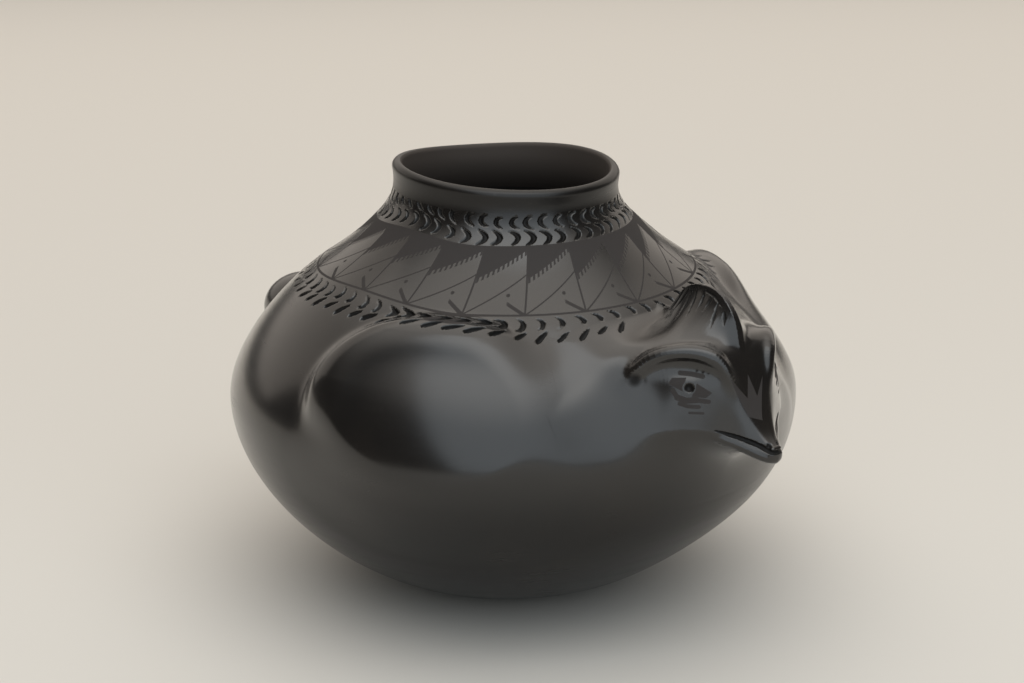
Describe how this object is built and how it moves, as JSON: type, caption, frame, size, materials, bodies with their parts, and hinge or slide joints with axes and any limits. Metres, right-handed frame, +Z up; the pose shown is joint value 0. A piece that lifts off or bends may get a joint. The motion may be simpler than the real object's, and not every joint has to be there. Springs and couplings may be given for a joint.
{
  "type": "bird effigy pot",
  "caption": "Round-bellied burnished black clay pot with a short neck and open mouth, a crested bird's head with a beak, raised wings and a stub tail.",
  "frame": {"origin": "centre of the flat foot, on the pot's axis", "axes": "+Z up along the pot's axis, -Y toward the bird's head, -X toward the bird's right wing"},
  "size_m": [0.2432, 0.3023, 0.1808],
  "materials": {
    "burnished_clay": "burnished to a soft gloss",
    "decorated_clay": "burnished, with matte painted lines and nail gouges",
    "satin_clay": "satin, lightly burnished"
  },
  "bodies": {
    "root": {"base_bowl": "burnished_clay", "lower_belly_coil": "burnished_clay", "upper_belly_coil": "burnished_clay", "shoulder_coil": "decorated_clay", "neck_collar": "satin_clay", "rim_coil": "satin_clay", "head": "burnished_clay", "lower_beak": "burnished_clay", "crest": "burnished_clay", "right_brow": "burnished_clay", "left_brow": "burnished_clay", "right_wing": "burnished_clay", "left_wing": "burnished_clay", "tail": "burnished_clay"}
  },
  "joints": []
}
